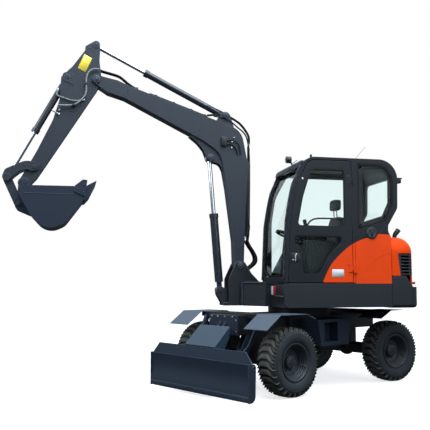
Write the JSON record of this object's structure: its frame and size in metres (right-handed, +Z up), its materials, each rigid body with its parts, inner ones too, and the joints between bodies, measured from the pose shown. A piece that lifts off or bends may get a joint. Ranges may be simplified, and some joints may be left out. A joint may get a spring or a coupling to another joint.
{
  "type": "wheeled excavator",
  "caption": "Wheeled excavator with a blade, a slewing upper structure with a cab, and a boom, arm and bucket worked by hydraulic cylinders.",
  "frame": {"origin": "on the ground under the slewing axis", "axes": "+X towards the blade's end of the undercarriage, +Y to its left, +Z up along the slewing axis"},
  "size_m": [5.1493, 3.6379, 4.707],
  "materials": {
    "charcoal_paint": "satin slate charcoal paint",
    "orange_paint": "glossy orange paint",
    "black_paint": "satin black paint",
    "rim_paint": "satin dark grey paint",
    "tyre_rubber": "dull black rubber",
    "rod_chrome": "hard chrome",
    "window_glass": "pale tinted safety glass",
    "seat_fabric": "dark grey woven seat cloth",
    "cab_plastic": "grained dark plastic"
  },
  "bodies": {
    "undercarriage": {"chassis_frame": "charcoal_paint", "slew_ring": "black_paint", "front_axle": "black_paint", "rear_axle": "black_paint", "drive_line": "black_paint", "side_boxes": "charcoal_paint", "front_fenders": "charcoal_paint", "rear_fenders": "charcoal_paint", "blade_bracket": "charcoal_paint"},
    "upper": {"upper_frame": "charcoal_paint", "side_skirts": "orange_paint", "counterweight": "charcoal_paint", "engine_block": "black_paint", "side_panel_left": "orange_paint", "right_house": "orange_paint", "cab_shell": "charcoal_paint", "cab_glass": "window_glass", "seat": "seat_fabric", "console": "cab_plastic", "work_lamps": "charcoal_paint"},
    "door": {"cab_door": "charcoal_paint", "door_glass": "window_glass"},
    "hood": {"engine_hood": "orange_paint", "hood_grilles": "black_paint"},
    "knuckle_left": {"knuckle_left": "black_paint"},
    "knuckle_right": {"knuckle_right": "black_paint"},
    "boom": {"boom": "charcoal_paint"},
    "arm": {"arm": "charcoal_paint"},
    "rocker": {"rocker": "charcoal_paint"},
    "link": {"link": "charcoal_paint"},
    "bucket": {"bucket": "charcoal_paint"},
    "blade": {"blade_board": "charcoal_paint", "blade_arms": "charcoal_paint", "blade_cover": "charcoal_paint"},
    "front_left_wheel": {"tyre_front_left": "tyre_rubber", "rim_front_left": "rim_paint"},
    "front_right_wheel": {"tyre_front_right": "tyre_rubber", "rim_front_right": "rim_paint"},
    "rear_left_wheel": {"tyre_rear_left": "tyre_rubber", "rim_rear_left": "rim_paint"},
    "rear_right_wheel": {"tyre_rear_right": "tyre_rubber", "rim_rear_right": "rim_paint"},
    "boom_ram_barrel": {"boom_ram_barrel": "black_paint"},
    "boom_ram_rod": {"boom_ram_rod": "rod_chrome"},
    "arm_ram_barrel": {"arm_ram_barrel": "black_paint"},
    "arm_ram_rod": {"arm_ram_rod": "rod_chrome"},
    "bucket_ram_barrel": {"bucket_ram_barrel": "black_paint"},
    "bucket_ram_rod": {"bucket_ram_rod": "rod_chrome"},
    "blade_ram_barrel": {"blade_ram_barrel": "black_paint"},
    "blade_ram_rod": {"blade_ram_rod": "rod_chrome"}
  },
  "joints": [
    {"name": "front_left_wheel_spin", "type": "hinge", "parent": "undercarriage", "child": "front_left_wheel", "pos_m": [1.055, 0.78, 0.4175], "axis": [0, 1, 0], "continuous": true},
    {"name": "front_right_wheel_spin", "type": "hinge", "parent": "undercarriage", "child": "front_right_wheel", "pos_m": [1.055, -0.78, 0.4175], "axis": [0, 1, 0], "continuous": true},
    {"name": "steer_left", "type": "hinge", "parent": "undercarriage", "child": "knuckle_left", "pos_m": [-1.055, 0.545, 0.4175], "axis": [0, 0, 1], "range_deg": [-20, 40]},
    {"name": "rear_left_wheel_spin", "type": "hinge", "parent": "knuckle_left", "child": "rear_left_wheel", "pos_m": [-1.01419, 0.77643, 0.4175], "axis": [0.1736, 0.9848, 0], "continuous": true},
    {"name": "steer_right", "type": "hinge", "parent": "undercarriage", "child": "knuckle_right", "pos_m": [-1.055, -0.545, 0.4175], "axis": [0, 0, 1], "range_deg": [-20, 40]},
    {"name": "rear_right_wheel_spin", "type": "hinge", "parent": "knuckle_right", "child": "rear_right_wheel", "pos_m": [-1.09581, -0.77643, 0.4175], "axis": [0.1736, 0.9848, 0], "continuous": true},
    {"name": "slew", "type": "hinge", "parent": "undercarriage", "child": "upper", "pos_m": [0, 0, 1.05], "axis": [0, 0, 1], "continuous": true},
    {"name": "boom_hinge", "type": "hinge", "parent": "upper", "child": "boom", "pos_m": [0.64718, -0.5593, 1.606], "axis": [0.4695, 0.8829, 0], "range_deg": [-12, 80]},
    {"name": "arm_hinge", "type": "hinge", "parent": "boom", "child": "arm", "pos_m": [2.43691, -1.51092, 4.155], "axis": [-0.4695, -0.8829, 0], "range_deg": [-38, 77]},
    {"name": "bucket_hinge", "type": "hinge", "parent": "arm", "child": "bucket", "pos_m": [3.25629, -1.94659, 2.686], "axis": [-0.4695, -0.8829, 0], "range_deg": [-5, 150]},
    {"name": "blade_hinge", "type": "hinge", "parent": "undercarriage", "child": "blade", "pos_m": [1.3, 0, 0.5], "axis": [0, -1, 0], "range_deg": [-10, 18]},
    {"name": "boom_ram_hinge", "type": "hinge", "parent": "upper", "child": "boom_ram_barrel", "pos_m": [0.88028, -0.68324, 1.258], "axis": [0.4695, 0.8829, 0], "range_deg": [-11.99, 77.1]},
    {"name": "boom_ram_slide", "type": "slide", "parent": "boom_ram_barrel", "child": "boom_ram_rod", "axis": [0.0713, -0.0379, 0.9967], "range_m": [-0.555, 0.08495]},
    {"name": "arm_ram_hinge", "type": "hinge", "parent": "boom", "child": "arm_ram_barrel", "pos_m": [0.81317, -0.64756, 3.752], "axis": [-0.4695, -0.8829, 0], "range_deg": [-1.84, 3.22]},
    {"name": "arm_ram_slide", "type": "slide", "parent": "arm_ram_barrel", "child": "arm_ram_rod", "axis": [0.793, -0.4216, 0.4398], "range_m": [-0.60163, 0.29792]},
    {"name": "bucket_ram_hinge", "type": "hinge", "parent": "arm", "child": "bucket_ram_barrel", "pos_m": [2.78303, -1.69495, 4.177], "axis": [-0.4695, -0.8829, 0], "range_deg": [-2.3, 0.56]},
    {"name": "bucket_ram_slide", "type": "slide", "parent": "bucket_ram_barrel", "child": "bucket_ram_rod", "axis": [0.4119, -0.219, -0.8845], "range_m": [-0.623, 0.0227]},
    {"name": "rocker_hinge", "type": "hinge", "parent": "arm", "child": "rocker", "pos_m": [3.13532, -1.88227, 2.906], "axis": [-0.4695, -0.8829, 0], "range_deg": [-4.11, 108.8]},
    {"name": "link_hinge", "type": "hinge", "parent": "bucket", "child": "link", "pos_m": [3.30485, -1.97241, 2.404], "axis": [-0.4695, -0.8829, 0], "range_deg": [-95.3, 3.66]},
    {"name": "blade_ram_hinge", "type": "hinge", "parent": "undercarriage", "child": "blade_ram_barrel", "pos_m": [1.466, 0, 0.752], "axis": [0, -1, 0], "range_deg": [-8.55, 14.99]},
    {"name": "blade_ram_slide", "type": "slide", "parent": "blade_ram_barrel", "child": "blade_ram_rod", "axis": [0.6093, 0, -0.793], "range_m": [-0.09385, 0.05303]},
    {"name": "door_hinge", "type": "hinge", "parent": "upper", "child": "door", "pos_m": [0.06398, 1.03626, 2.1], "axis": [0, 0, 1], "range_deg": [0, 160]},
    {"name": "hood_hinge", "type": "hinge", "parent": "upper", "child": "hood", "pos_m": [-0.85293, 0.45351, 1.99], "axis": [0.4695, 0.8829, 0], "range_deg": [0, 60]}
  ],
  "couplings": [
    {"joint": "steer_right", "follows": "steer_left", "ratio": 1},
    {"joint": "boom_ram_hinge", "follows": "boom_hinge", "ratio": 0.9575},
    {"joint": "boom_ram_slide", "follows": "boom_hinge", "m_per_rad": -0.39606},
    {"joint": "arm_ram_hinge", "follows": "arm_hinge", "ratio": 0.0353},
    {"joint": "arm_ram_slide", "follows": "arm_hinge", "m_per_rad": -0.44618},
    {"joint": "bucket_ram_hinge", "follows": "bucket_hinge", "ratio": -0.012},
    {"joint": "bucket_ram_slide", "follows": "bucket_hinge", "m_per_rad": -0.2372},
    {"joint": "rocker_hinge", "follows": "bucket_hinge", "ratio": 0.722},
    {"joint": "link_hinge", "follows": "bucket_hinge", "ratio": -0.632},
    {"joint": "blade_ram_hinge", "follows": "blade_hinge", "ratio": 0.805},
    {"joint": "blade_ram_slide", "follows": "blade_hinge", "m_per_rad": -0.29237}
  ]
}
